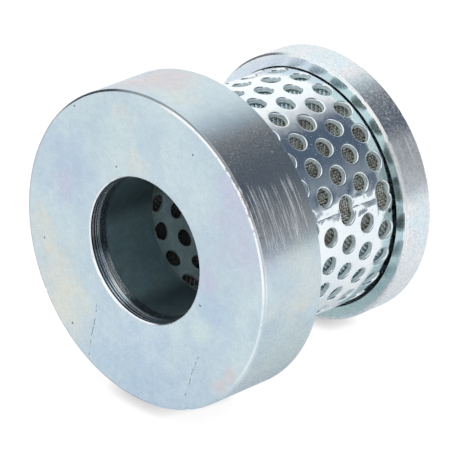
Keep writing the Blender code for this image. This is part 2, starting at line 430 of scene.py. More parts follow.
def front_flange(material):
    seat_floor = FRONT_WIDTH - INNER_SEAT_DEPTH
    groove_floor = FRONT_WIDTH - GROOVE_DEPTH
    seat_r = INNER_TUBE_R + FIT
    groove_in = OUTER_TUBE_BORE_R - LOOSE_FIT - BURR
    groove_out = OUTER_TUBE_R + LOOSE_FIT
    outline = [
        (MOUTH_R + MOUTH_CHAMFER, 0.0, LIP_EDGE),
        (MOUTH_R, MOUTH_CHAMFER, LIP_EDGE),
        *lip_ridges(),
        (LEAD_IN_R, LEAD_IN_DEPTH, LIP_EDGE),
        (SLEEVE_R + FIT, LEAD_IN_DEPTH, CRISP),
        (SLEEVE_R + FIT, seat_floor, CRISP),
        (seat_r, seat_floor, CRISP),
        (seat_r, FRONT_WIDTH, GROOVE_EDGE),
        (groove_in, FRONT_WIDTH, GROOVE_EDGE),
        (groove_in, groove_floor, CRISP),
        (groove_out, groove_floor, CRISP),
        (groove_out, FRONT_WIDTH, GROOVE_EDGE),
        (FRONT_R - EDGE_CHAMFER, FRONT_WIDTH, WORN),
        (FRONT_R, FRONT_WIDTH - EDGE_CHAMFER, WORN),
        *reversed(edge_steps(FRONT_R, EDGE_CHAMFER, 0.0, 1.0)),
        (FRONT_R, EDGE_CHAMFER, WORN),
        (FRONT_R - EDGE_CHAMFER, 0.0, WORN),
        *edge_steps(FRONT_R - EDGE_CHAMFER, 0.0, -1.0, 0.0),
    ]
    mesh = turned("front_flange_turned", rounded(outline))
    nicked(mesh, FRONT_NICKS, FRONT_R - EDGE_CHAMFER / 2, EDGE_CHAMFER / 2)
    add_piece(mesh, material, "front_flange")


def rear_flange(material):
    recess_floor = REAR_Y + RECESS_DEPTH
    pocket_floor = recess_floor + POCKET_DEPTH
    outline = [
        (0.0, pocket_floor, CRISP),
        (INNER_TUBE_R + FIT, pocket_floor, CRISP),
        (INNER_TUBE_R + FIT, recess_floor, CRISP),
        (OUTER_TUBE_R + LOOSE_FIT, recess_floor, CRISP),
        (OUTER_TUBE_R + LOOSE_FIT, REAR_Y, RECESS_EDGE),
        (REAR_R - EDGE_CHAMFER, REAR_Y, WORN),
        (REAR_R, REAR_Y + EDGE_CHAMFER, WORN),
        *edge_steps(REAR_R, REAR_Y + EDGE_CHAMFER, 0.0, 1.0),
        (REAR_R, BODY_LENGTH - EDGE_CHAMFER, WORN),
        (REAR_R - EDGE_CHAMFER, BODY_LENGTH, WORN),
        (0.0, BODY_LENGTH, CRISP),
    ]
    mesh = turned("rear_flange_turned", rounded(outline, closed=False), closed=False)
    nicked(mesh, REAR_NICKS, REAR_R - EDGE_CHAMFER / 2, REAR_Y + EDGE_CHAMFER / 2)
    add_piece(mesh, material, "rear_flange")


def inlet_sleeve(material):
    front_y = LEAD_IN_DEPTH + FIT
    outline = [
        (SLEEVE_BORE_R, front_y, CRISP),
        (SLEEVE_R, front_y, CRISP),
        (SLEEVE_R, SLEEVE_HIGH.y, SLEEVE_EDGE),
        (SLEEVE_BORE_R, SLEEVE_HIGH.y, SLEEVE_LIP),
    ]
    mesh = turned("inlet_sleeve_drawn", rounded(outline), turns=SLEEVE_TURNS)
    add_piece(mesh, material, "inlet_sleeve")


# ======== rolled, punched sheet ========
# (radius from the hole's centre, height above the sheet's inner face), from the hexagon's flat
# outer surface in, down the hole's wall and out along the inner surface. The punch rolls the
# outer edge over. It pushes a burr out of the outer tube's inner face, and the inner tube's
# edges there are nearly sharp.
ROLLED_EDGE = [
    (HOLE_R + 0.50 * MM, SHEET),
    (HOLE_R + 0.26 * MM, SHEET),
    (HOLE_R + 0.18 * MM, SHEET - 0.015 * MM),
    (HOLE_R + 0.11 * MM, SHEET - 0.06 * MM),
    (HOLE_R + 0.06 * MM, SHEET - 0.14 * MM),
    (HOLE_R + 0.02 * MM, SHEET - 0.26 * MM),
    (HOLE_R, SHEET - 0.42 * MM),
]
OUTER_HOLE = ROLLED_EDGE + [
    (HOLE_R - 0.03 * MM, 0.0),
    (HOLE_R - 0.04 * MM, -BURR),
    (HOLE_R + 0.01 * MM, -BURR),
    (HOLE_R + 0.08 * MM, -0.02 * MM),
    (HOLE_R + 0.20 * MM, 0.0),
    (HOLE_R + 0.45 * MM, 0.0),
]
INNER_HOLE = ROLLED_EDGE + [
    (HOLE_R, 0.10 * MM),
    (HOLE_R + 0.015 * MM, 0.03 * MM),
    (HOLE_R + 0.06 * MM, 0.0),
    (HOLE_R + 0.45 * MM, 0.0),
]


def hexagon_reach(angle):
    """Distance from a cell's centre to its edge, shared with the neighbouring cell."""
    off = (angle + math.pi / 6) % (math.pi / 3) - math.pi / 6
    return PITCH / 2 / math.cos(off)


def cell_template(section, sides):
    """Points and faces of one hexagon of sheet with its hole, laid flat, centred on the hole."""
    angles = [2 * math.pi * i / sides for i in range(sides)]
    rings = [[(hexagon_reach(a), SHEET) for a in angles]]
    rings += [[(radius, height)] * sides for radius, height in section]
    rings.append([(hexagon_reach(a), 0.0) for a in angles])
    verts = []
    for ring in rings:
        for angle, (radius, height) in zip(angles, ring):
            verts.append((radius * math.cos(angle), radius * math.sin(angle), height))
    faces = []
    for ring in range(len(rings) - 1):
        base = ring * sides
        below = base + sides
        for i in range(sides):
            j = (i + 1) % sides
            faces.append((base + i, base + j, below + j, below + i))
    return np.array(verts), np.array(faces)


def punched_sheet(width, start_v, end_v, row_v, first_hole, cell):
    """The perforated sheet laid flat, cut along its four edges and closed there."""
    cell_verts, cell_faces = cell
    first_row = math.floor((start_v - row_v) / ROW_STEP) - 1
    last_row = math.ceil((end_v - row_v) / ROW_STEP) + 1
    holes_across = math.ceil(width / PITCH) + 1
    verts, faces = [], []
    for row in range(first_row, last_row + 1):
        stagger = 0.5 * (row % 2)
        for column in range(-2, holes_across + 1):
            centre = ((first_hole + stagger + column) * PITCH, row_v + row * ROW_STEP, 0.0)
            faces.append(cell_faces + len(verts) * len(cell_verts))
            verts.append(cell_verts + np.array(centre))
    mesh = mesh_from("flat_sheet", np.concatenate(verts), np.concatenate(faces))
    bm = bmesh.new()
    bm.from_mesh(mesh)
    bpy.data.meshes.remove(mesh)
    bmesh.ops.remove_doubles(bm, verts=bm.verts, dist=SEWN)
    cuts = [
        ((0.0, 0.0, 0.0), (-1.0, 0.0, 0.0)),
        ((width, 0.0, 0.0), (1.0, 0.0, 0.0)),
        ((0.0, start_v, 0.0), (0.0, -1.0, 0.0)),
        ((0.0, end_v, 0.0), (0.0, 1.0, 0.0)),
    ]
    for point, outwards in cuts:
        cut = bmesh.ops.bisect_plane(
            bm,
            geom=bm.verts[:] + bm.edges[:] + bm.faces[:],
            dist=SAME_POINT,
            plane_co=point,
            plane_no=outwards,
            clear_outer=True,
        )
        rim = [g for g in cut["geom_cut"] if isinstance(g, bmesh.types.BMEdge)]
        bmesh.ops.holes_fill(bm, edges=rim, sides=0)
    return bm


def rolled(bm, bore_r, seam_angle, curl):
    """Rolls a flat sheet into a tube. The end at its full width is bent twice as tight over the
    length curl, and the end that it meets over half of that."""
    middle_r = bore_r + SHEET / 2
    tight_r = middle_r / 2
    for vert in bm.verts:
        u, v, depth = vert.co
        angle = (u + SEAM_GAP / 2) / middle_r
        near = angle if angle < math.pi else 2 * math.pi - angle
        side = 1.0 if angle < math.pi else -1.0
        reach = curl / 2 if angle < math.pi else curl
        past = max(reach / middle_r - near, 0.0)
        start = near + past
        direction = start - past * middle_r / tight_r
        offset = middle_r - tight_r if past else 0.0
        radius = bore_r + depth - offset
        across = radius * math.sin(direction) + offset * math.sin(start)
        out = radius * math.cos(direction) + offset * math.cos(start)
        turn = math.atan2(side * across, out) + seam_angle
        x, z = polar(math.hypot(across, out), turn)
        vert.co = (x, v, z)


def perforated_tube(name, bore_r, low, high, seam_angle, row_y, first_hole, curl, cell):
    """A rolled, punched tube. Without a first hole, the pattern is centred between its ends."""
    width = 2 * math.pi * (bore_r + SHEET / 2) - SEAM_GAP
    if first_hole is None:
        first_hole = (width / PITCH - math.floor(width / PITCH)) / 2
    bm = punched_sheet(width, low.y, high.y, row_y, first_hole, cell)
    rolled(bm, bore_r, seam_angle, curl)
    bmesh.ops.recalc_face_normals(bm, faces=bm.faces)
    mesh = bpy.data.meshes.new(name)
    bm.to_mesh(mesh)
    bm.free()
    return mesh


def outer_tube(material):
    mesh = perforated_tube(
        "outer_tube_sheet", OUTER_TUBE_BORE_R, OUTER_LOW, OUTER_HIGH, OUTER_TUBE_SEAM,
        OUTER_TUBE_ROW_Y, None, OUTER_CURL, cell_template(OUTER_HOLE, OUTER_HOLE_SIDES),
    )
    mesh.transform(Matrix.Translation(PLAY))
    add_piece(mesh, material, "outer_tube")


def inner_tube(material):
    mesh = perforated_tube(
        "inner_tube_sheet", INNER_TUBE_BORE_R, INNER_LOW, INNER_HIGH, INNER_TUBE_SEAM,
        INNER_TUBE_ROW_Y, INNER_TUBE_FIRST_HOLE, INNER_CURL,
        cell_template(INNER_HOLE, INNER_HOLE_SIDES),
    )
    add_piece(mesh, material, "inner_tube")


# ======== wire pieces ========
def swept(path, radius, closed=False):
    """A thin square wire along an array of points, as arrays of points and faces."""
    if closed:
        ahead = np.roll(path, -1, axis=0) - np.roll(path, 1, axis=0)
    else:
        ahead = np.gradient(path, axis=0)
    ahead /= np.linalg.norm(ahead, axis=1)[:, None]
    outwards = path * np.array([1.0, 0.0, 1.0])
    across = np.cross(ahead, outwards)
    across /= np.linalg.norm(across, axis=1)[:, None]
    normal = np.cross(across, ahead)
    around = np.arange(WIRE_SIDES) * 2 * math.pi / WIRE_SIDES
    ring = across[:, None] * np.cos(around)[None, :, None]
    ring = ring + normal[:, None] * np.sin(around)[None, :, None]
    verts = (path[:, None] + radius * ring).reshape(-1, 3)
    count = len(path)
    faces = []
    for i in range(count if closed else count - 1):
        base = i * WIRE_SIDES
        below = ((i + 1) % count) * WIRE_SIDES
        for k in range(WIRE_SIDES):
            n = (k + 1) % WIRE_SIDES
            faces.append((base + k, base + n, below + n, below + k))
    if not closed:
        last = (count - 1) * WIRE_SIDES
        faces.append(tuple(range(WIRE_SIDES - 1, -1, -1)))
        faces.append(tuple(range(last, last + WIRE_SIDES)))
    return verts, np.array(faces)


def joined(parts):
    """One pair of arrays from many pairs of points and faces."""
    verts, faces, used = [], [], 0
    for part_verts, part_faces in parts:
        verts.append(part_verts)
        faces.append(part_faces + used)
        used += len(part_verts)
    return np.concatenate(verts), np.concatenate(faces)


def woven_tube(name, radius):
    """Plain-woven wire cloth rolled into a tube: each wire passes over one and under the next."""
    columns = 2 * round(math.pi * radius / MESH_SPACING)
    start = PACK_LOW.y + 2 * WIRE_R
    length = PACK_HIGH.y - 2 * WIRE_R - start
    rows = round(length / MESH_SPACING)
    stations = np.arange(rows)
    y = start + (stations + 0.5) * length / rows
    parts = []
    for column in range(columns):
        angle = 2 * math.pi * column / columns
        reach = radius + WIRE_R * (-1.0) ** (stations + column)
        path = np.stack([reach * math.sin(angle), y, reach * math.cos(angle)], axis=-1)
        parts.append(swept(path, WIRE_R))
    turns = np.arange(columns)
    angles = 2 * math.pi * turns / columns
    for row in range(rows):
        reach = radius - WIRE_R * (-1.0) ** (turns + row)
        level = np.full(columns, y[row])
        path = np.stack([reach * np.sin(angles), level, reach * np.cos(angles)], axis=-1)
        parts.append(swept(path, WIRE_R, closed=True))
    return mesh_from(name, *joined(parts))


def gauzes(outer_wire, inner_wire):
    mesh = woven_tube("outer_gauze_cloth", OUTER_TUBE_BORE_R - GAUZE_DEPTH)
    mesh.transform(Matrix.Translation(PLAY))
    add_piece(mesh, outer_wire, "outer_gauze")
    mesh = woven_tube("inner_gauze_cloth", INNER_TUBE_R + GAUZE_DEPTH)
    add_piece(mesh, inner_wire, "inner_gauze")


def divided(start, end, count):
    """Points along a straight line, from its start to the last one before its end."""
    return [tuple(a + (b - a) * i / count for a, b in zip(start, end)) for i in range(count)]


def lumpy_sleeve():
    """The body of the packing: a sleeve whose surfaces are pressed into uneven lumps."""
    low, high = PACK_LOW.y, PACK_HIGH.y
    across = round((WOOL_R - WOOL_BORE_R) / LUMP)
    along = round((high - low) / LUMP)
    corners = [(WOOL_BORE_R, low), (WOOL_R, low), (WOOL_R, high), (WOOL_BORE_R, high)]
    outline = []
    for i, count in enumerate((across, along, across, along)):
        outline += divided(corners[i], corners[(i + 1) % 4], count)
    mesh = turned("packing_body", outline, turns=WOOL_TURNS)
    middle_r = (WOOL_BORE_R + WOOL_R) / 2
    middle_y = (low + high) / 2
    for vert in mesh.vertices:
        lump = 0.5 + 0.5 * noise.fractal(vert.co / MM * LUMP_SCALE, *LUMP_FRACTAL)
        sink = min(max(lump, 0.0), 1.0) * LUMP_DEPTH
        radius = math.hypot(vert.co.x, vert.co.z)
        side = 1.0 if radius > middle_r else -1.0
        change = (radius - side * sink) / radius
        vert.co.x *= change
        vert.co.z *= change
        vert.co.y -= math.copysign(sink, vert.co.y - middle_y)
    return mesh


def wool_strand(rng, radius):
    """One thin wire that wanders over a surface of the packing and turns back at its ends."""
    low = PACK_LOW.y + STRAND_MARGIN
    high = PACK_HIGH.y - STRAND_MARGIN
    turn = rng.uniform(0.0, 2 * math.pi)
    y = rng.uniform(low + STRAND_MARGIN, high - STRAND_MARGIN)
    heading = rng.uniform(0.0, 2 * math.pi)
    path = []
    for _ in range(STRAND_POINTS):
        heading += rng.uniform(-STRAND_WANDER, STRAND_WANDER)
        turn += STRAND_STEP * math.cos(heading) / radius
        y += STRAND_STEP * math.sin(heading)
        if not low < y < high:
            heading = -heading
            y = min(max(y, low), high)
        height = radius + rng.uniform(-STRAND_LIFT, STRAND_LIFT)
        path.append((height * math.sin(turn), y, height * math.cos(turn)))
    return swept(np.array(path), STRAND_R)


def packing(material):
    """Wire wool: a lumpy body with loose strands over its two faces."""
    body = lumpy_sleeve()
    faces = np.array([tuple(face.vertices) for face in body.polygons])
    parts = [(points_of(body), faces)]
    rng = random.Random(WOOL_SEED)
    for _ in range(STRANDS):
        parts.append(wool_strand(rng, rng.choice(STRAND_RADII)))
    mesh = mesh_from("packing_wool", *joined(parts))
    add_piece(mesh, material, "packing")


# ======== node trees ========
class Graph:
    """A short way to write the node tree of a material or of the world."""

    def __init__(self, owner):
        owner.use_nodes = True
        self.nodes = owner.node_tree.nodes
        self.links = owner.node_tree.links

    def feed(self, socket, value):
        """Links a socket, or sets it to a number, a vector or a colour. None leaves it alone."""
        if isinstance(value, bpy.types.NodeSocket):
            self.links.new(value, socket)
        elif value is not None:
            socket.default_value = (*value, 1.0) if socket.type == "RGBA" else value

    def node(self, kind, inputs=(), **settings):
        """Adds a node. Its inputs come in order, or in a dictionary by name or number."""
        made = self.nodes.new("ShaderNode" + kind)
        for key, value in settings.items():
            setattr(made, key, value)
        for key, value in inputs.items() if isinstance(inputs, dict) else enumerate(inputs):
            self.feed(made.inputs[key], value)
        return made

    def math(self, operation, a, b=None):
        return self.node("Math", (a, b), operation=operation).outputs[0]

    def product(self, first, *others):
        for other in others:
            first = self.math("MULTIPLY", first, other)
        return first

    def highest(self, first, *others):
        for other in others:
            first = self.math("MAXIMUM", first, other)
        return first

    def vector(self, operation, a, b=None, scale=None):
        made = self.node("VectorMath", (a, b, None, scale), operation=operation)
        return made.outputs["Value" if operation in ("DOT_PRODUCT", "LENGTH") else "Vector"]

    def split(self, vector):
        return self.node("SeparateXYZ", (vector,)).outputs

    def combine(self, x, y, z):
        return self.node("CombineXYZ", (x, y, z)).outputs[0]

    def range(self, value, low, high, new_low=0.0, new_high=1.0, kind="SMOOTHSTEP"):
        inputs = (value, low, high, new_low, new_high)
        return self.node("MapRange", inputs, interpolation_type=kind).outputs[0]

    def between(self, value, rise, fall):
        """1 past the rise and before the fall. Each is where its fade starts and ends."""
        return self.product(self.range(value, *rise), self.range(value, *fall, 1.0, 0.0))

    def band(self, value, low, high, soft):
        """1 between low and high, fading to 0 within soft of them."""
        return self.between(value, (low - soft, low), (high, high + soft))

    def mix(self, share, a, b, blend="MIX"):
        inputs = {"Factor": share, 6: a, 7: b}  # 6 and 7 are its colour sockets
        made = self.node("Mix", inputs, data_type="RGBA", blend_type=blend)
        return made.outputs[2]

    def glow(self, kind, colour, strength):
        """An emission or background shader."""
        return self.node(kind, {"Color": colour, "Strength": strength}).outputs[0]

    def end(self, kind, real, seen):
        """Ends the tree. The camera sees another shader in the real one's place."""
        camera_ray = self.node("LightPath").outputs["Is Camera Ray"]
        choice = self.node("MixShader", (camera_ray, real, seen))
        self.node(kind, {"Surface": choice.outputs[0]})


class Finish(Graph):
    """A piece's material. Its places, noise and bands are in millimetres and degrees."""

    def __init__(self, name, shift=(0.0, 0.0, 0.0)):
        self.material = bpy.data.materials.new(name)
        super().__init__(self.material)
        self.shader = self.nodes["Principled BSDF"]
        place = self.node("TexCoord").outputs["Object"]
        place = self.vector("SUBTRACT", place, shift)
        self.place = self.vector("SCALE", place, scale=1 / MM)
        x, self.y, z = self.split(self.place)
        flat = self.combine(x, 0.0, z)
        self.radius = self.vector("LENGTH", flat)
        self.unit = self.vector("NORMALIZE", flat)
        self.angle = self.math("DEGREES", self.math("ARCTAN2", x, z))

    def noise(self, scale, vector=None, detail=3.0, roughness=0.55, distortion=0.0, seed=0.0):
        """Noise whose features are about 1 / scale across. Each seed gives another pattern."""
        inputs = {"Vector": vector or self.place, "W": seed, "Scale": scale, "Detail": detail}
        inputs.update({"Roughness": roughness, "Distortion": distortion})
        return self.node("TexNoise", inputs, noise_dimensions="4D").outputs["Fac"]

    def edge(self, radius, y, reach):
        """1 on a turned edge at that radius and y, in metres, fading to 0 at reach from it."""
        off_r = self.math("SUBTRACT", self.radius, radius / MM)
        off_y = self.math("SUBTRACT", self.y, y / MM)
        away = self.vector("LENGTH", self.combine(off_r, off_y, 0.0))
        return self.range(away, 0.6 * reach, reach, 1.0, 0.0)

    def shade(self, share, colour, factor):
        """The colour multiplied by factor where share is 1."""
        scale = self.range(share, 0.0, 1.0, 1.0, factor)
        return self.mix(1.0, colour, self.combine(scale, scale, scale), "MULTIPLY")

    def facing(self, angle):
        """1 at that angle round the axis, falling to -1 opposite it."""
        x, z = polar(1.0, angle)
        return self.vector("DOT_PRODUCT", self.unit, (x, 0.0, z))

    def bump(self, height, distance, normal=None):
        inputs = {"Distance": distance, "Height": height, "Normal": normal}
        return self.node("Bump", inputs).outputs[0]

    def lathe_space(self, around, across):
        """Coordinates that draw a texture out round the axis, as a lathe tool's marks are.

        Features are about 57 / around degrees long and 1 / across millimetres wide.
        """
        x, _, z = self.split(self.unit)
        width = self.product(self.math("ADD", self.radius, self.y), across)
        return self.combine(self.product(x, around), width, self.product(z, around))

    def finish(self, colour, roughness, normal=None, brushed=0.0, metal=1.0):
        """Sets the shader. A brushed metal's turning marks blur what it mirrors across them."""
        inputs = {"Base Color": colour, "Roughness": roughness, "Metallic": metal, "Normal": normal}
        if brushed:
            tangent = self.node("Tangent", direction_type="RADIAL", axis="Y")
            inputs["Tangent"] = tangent.outputs[0]
            inputs["Anisotropic"] = brushed
            inputs["Anisotropic Rotation"] = 0.25  # a quarter turn
        for name, value in inputs.items():
            self.feed(self.shader.inputs[name], value)
        return self.material


# ======== plated flanges ========
def passivation(g):
    """The clear coating's drifting tints: pale blue with violet, straw and pink clouds."""
    cloud = g.noise(0.09, detail=4.0, distortion=0.6, seed=1.0)
    hue = g.noise(0.055, detail=3.0, distortion=1.0, seed=2.0)
    mottle = g.noise(0.8, detail=4.0, roughness=0.7, seed=4.0)
    colour = g.mix(g.range(cloud, 0.35, 0.65), PLATING_DARK, PLATING_LIGHT)
    side = g.range(g.y, 0.3, 1.0)
    colour = g.mix(g.product(side, g.range(hue, 0.52, 0.70, 0.0, 0.6)), colour, VIOLET)
    colour = g.mix(g.product(side, g.range(hue, 0.46, 0.30, 0.0, 0.35)), colour, STRAW)
    ragged = g.range(g.noise(0.25, detail=5.0, roughness=0.65, seed=3.0), 0.3, 0.7, -0.5, 0.5)
    for x, y, z, size, tint in CLOUDS:
        away = g.vector("LENGTH", g.vector("SUBTRACT", g.place, (x, y, z)))
        away = g.math("ADD", away, g.product(ragged, size))
        share = g.range(away, 0.0, 1.5 * size, 0.75, 0.0)
        colour = g.mix(share, colour, tint)
    return g.shade(g.range(mottle, 0.62, 0.38), colour, 0.95)


def face_blemishes(g):
    """Pits and hairline scratches in the mounting face, as one mask."""
    waver = g.noise(0.5, detail=2.0, seed=5.0)
    x, _, z = g.split(g.place)
    point = g.combine(g.math("ADD", x, waver), 0.0, z)
    masks = []
    for pit in FACE_PITS:
        away = g.vector("LENGTH", g.vector("SUBTRACT", point, pit))
        masks.append(g.range(away, 0.08, 0.30, 1.0, 0.0))
    broken = g.range(g.noise(1.2, seed=6.0), 0.42, 0.56)
    for start, end in FACE_SCRATCHES:
        run = Vector(end) - Vector(start)
        off = g.vector("SUBTRACT", point, start)
        share = g.math("DIVIDE", g.vector("DOT_PRODUCT", off, tuple(run)), run.length_squared)
        share = g.math("MINIMUM", g.math("MAXIMUM", share, 0.0), 1.0)
        foot = g.vector("SCALE", tuple(run), scale=share)
        away = g.vector("LENGTH", g.vector("SUBTRACT", off, foot))
        masks.append(g.product(g.range(away, 0.04, 0.14, 0.7, 0.0), broken))
    return g.product(g.highest(*masks), g.range(g.y, 0.1, 0.2, 1.0, 0.0))


def worn_highlit_lines(g):
    """Bright lines where the plating is rubbed off the handled edges, painted brighter as
    highlights where the edges catch the light, as one mask.
    """
    rim = g.edge(FRONT_R - EDGE_CHAMFER - 0.12 * MM, 0.0, 0.28)
    front = [
        rim,
        g.product(g.edge(FRONT_R, EDGE_CHAMFER, 0.15), g.range(g.angle, 50.0, 70.0, 0.0, 0.6)),
        g.product(g.edge(FRONT_R - EDGE_CHAMFER, FRONT_WIDTH, 0.15), 0.5),
    ]
    rear = [
        g.edge(REAR_R - EDGE_CHAMFER - 0.08 * MM, REAR_Y, 0.26),
        g.product(g.edge(REAR_R, REAR_Y + EDGE_CHAMFER, 0.15), 0.5),
    ]
    mouth = g.product(g.edge(MOUTH_R + MOUTH_CHAMFER / 2, MOUTH_CHAMFER / 2, 0.17), 0.9)
    # painted highlight: a wider bright line on the mouth's edge beside the lead-in's painted glint
    mouth_glint = g.edge(MOUTH_R + MOUTH_CHAMFER, 0.0, 0.34)
    mouth_glint = g.product(mouth_glint, g.range(g.facing(LIP_GLINT), 0.86, 0.96))
    lines = g.highest(
        g.product(g.highest(*front), g.band(g.angle, *FRONT_WEAR_HIGHLIGHT)),
        g.product(rim, g.band(g.angle, *FRONT_WEAR_HIGHLIGHT_TAIL), 0.5),
        g.product(g.highest(*rear), g.band(g.angle, *REAR_WEAR_HIGHLIGHT)),
        mouth,
        mouth_glint,
    )
    limit = g.range(g.band(g.angle, *BROKEN_WEAR_HIGHLIGHT), 0.0, 1.0, 0.36, 0.46)
    wear = g.math("SUBTRACT", g.noise(1.4, detail=3.0, seed=12.0), limit)
    return g.product(lines, g.range(wear, -0.03, 0.03))


def handling(g, rear):
    """Where hands have rubbed both flanges, and the scratch streaks there, painted bright as
    glints, as two masks.
    """
    handled = g.product(g.band(g.angle, *FRONT_HANDLED), g.band(g.y, *HANDLED_SIDE))
    handled = g.highest(handled, g.product(rear, g.band(g.angle, *REAR_HANDLED), 0.85))
    limit = g.range(handled, 0.0, 1.0, 0.74, 0.55)
    narrow = g.noise(1.0, g.lathe_space(3.2, 5.5), detail=3.0, seed=10.0)
    broad = g.noise(1.0, g.lathe_space(2.2, 3.2), detail=2.0, seed=14.0)
    streaks = g.highest(
        g.range(g.math("SUBTRACT", narrow, limit), 0.0, 0.05),
        g.range(g.math("SUBTRACT", broad, limit), 0.05, 0.08),
    )
    return handled, g.product(streaks, g.range(g.y, 0.5, 1.0))


def rear_plating(g, colour, rear, grain, sparkle):
    """The rear flange's paler rim, and the coloured shoulder outside its recess, with painted dark
    reflections on the shoulder.
    """
    tint = g.noise(0.16, detail=3.0, distortion=0.8, seed=13.0)
    rim = g.mix(g.range(tint, 0.40, 0.60), REAR_COOL, REAR_PALE)
    rim = g.mix(g.band(g.angle, *REAR_WARMER), rim, REAR_WARM)
    colour = g.mix(g.product(rear, 0.85), colour, rim)
    shoulder = g.product(g.band(g.radius, *SHOULDER_RING), g.band(g.y, *SHOULDER_FACE))
    film = g.mix(g.range(g.angle, -5.0, 15.0), SHOULDER_BLUE, SHOULDER_TEAL)
    colour = g.mix(g.product(shoulder, 0.7), colour, film)
    dark_reflections = g.highest(*(g.band(g.angle, *stretch) for stretch in SHOULDER_DARK_REFLECTIONS))
    # painted dark reflections on the shoulder
    colour = g.shade(g.product(shoulder, dark_reflections), colour, 0.60)
    colour = g.shade(g.product(rear, g.range(grain, 0.56, 0.40)), colour, 0.80)
    return g.mix(g.product(sparkle, 0.6), colour, SPARKLE)


def front_edge(g, colour):
    """The front rim's chamfer, painted darker as a dark reflection, and a painted violet shade line
    along its left.
    """
    chamfer = g.edge(FRONT_R - EDGE_CHAMFER / 2, EDGE_CHAMFER / 2, 0.26)
    # painted dark reflection on the chamfer
    colour = g.shade(g.product(chamfer, g.band(g.angle, *CHAMFER_SHADE)), colour, 0.45)
    line = g.edge(FRONT_R - EDGE_CHAMFER, 0.0, 0.22)
    left = g.range(g.facing(RIM_SHADE_ANGLE), 0.3, 0.6, 0.0, 0.7)
    # painted shade: the violet line along the rim's left
    return g.mix(g.product(line, left), colour, RIM_SHADE_VIOLET)


def zinc_plated_steel():
    """Turned steel with a clear blue passivated zinc plating, worn bright along its edges, plus
    painted highlights and shade.
    """
    g = Finish("zinc_plated_steel")
    marks = g.noise(1.0, g.lathe_space(1.5, 6.0), detail=4.0, roughness=0.7, seed=7.0)
    coarse = g.noise(1.0, g.lathe_space(0.9, 1.6), seed=8.0)
    grain = g.noise(3.5, detail=4.0, roughness=0.7, seed=9.0)
    rear = g.product(g.range(g.y, 36.0, 37.0), g.range(g.radius, 22.0, 22.6))
    handled, streaks = handling(g, rear)
    turning = g.product(g.range(handled, 0.0, 1.0, 0.3, 1.0), g.range(g.y, 0.3, 0.6, 0.6, 1.0))
    speck = g.range(g.noise(2.6, detail=2.0, seed=11.0), 0.66, 0.72)
    speck = g.product(speck, g.range(g.y, 0.4, 0.8))
    sparkle = g.product(rear, g.band(g.angle, *SPARKLING), g.range(grain, 0.54, 0.60))
    rubbed = g.product(g.band(g.angle, *FRONT_RUBBED), g.band(g.y, *RUBBED_SIDE))
    lip = g.product(g.band(g.radius, *LIP_RING), g.band(g.y, *LIP_LENGTH))
    # painted glint: the lead-in's turning marks painted bright where they catch the light
    lip_glint_mask = g.product(lip, g.range(g.facing(LIP_GLINT), 0.92, 0.99), g.range(g.y, 0.8, 1.8))
    lip_glint_mask = g.product(lip_glint_mask, g.range(marks, 0.40, 0.60, 0.3, 1.0))
    worn = worn_highlit_lines(g)
    blemish = face_blemishes(g)
    recess_shade = g.product(g.band(g.radius, *RECESS_RING), g.band(g.y, *RECESS_LENGTH))

    colour = passivation(g)
    colour = g.shade(g.product(g.range(marks, 0.60, 0.40), turning), colour, 0.90)
    colour = rear_plating(g, colour, rear, grain, sparkle)
    colour = g.mix(g.product(rubbed, 0.85), colour, RUBBED_GREY)
    # painted shade: the lead-in darker away from its painted glint
    colour = g.shade(g.product(lip, g.range(g.facing(LIP_GLINT), 0.97, 0.87)), colour, 0.34)
    colour = g.mix(lip_glint_mask, colour, PAINTED_LIP_GLINT)
    colour = front_edge(g, colour)
    # scratch streaks, painted bright as glints
    colour = g.mix(streaks, colour, STREAK_GLINT)
    colour = g.mix(g.product(speck, 0.4), colour, SPECK)
    # worn edges, painted brighter as highlights where they catch the light
    colour = g.mix(worn, colour, WORN_HIGHLIT_LINE)
    colour = g.shade(blemish, colour, 0.30)
    # painted shade: the rear flange's recess round the tube, nearly black
    colour = g.shade(recess_shade, colour, 0.10)

    rear_rubbed = g.product(rear, g.band(g.angle, *REAR_RUBBED))
    roughness = g.range(grain, 0.3, 0.7, 0.20, 0.30)
    roughness = g.math("ADD", roughness, g.product(g.highest(streaks, g.product(speck, 0.8)), 0.30))
    roughness = g.math("ADD", roughness, g.product(rear_rubbed, 0.15))
    roughness = g.math("SUBTRACT", roughness, g.product(worn, 0.08))
    metal = g.range(g.highest(rear_rubbed, streaks, lip_glint_mask, sparkle), 0.0, 1.0, 1.0, 0.65)
    normal = g.bump(g.product(marks, turning), 0.006 * MM)
    normal = g.bump(g.product(coarse, turning), 0.012 * MM, normal)
    normal = g.bump(grain, 0.005 * MM, normal)
    normal = g.bump(g.highest(blemish, g.product(streaks, 0.2)), -0.05 * MM, normal)
    return g.finish(colour, roughness, normal, brushed=0.85, metal=metal)


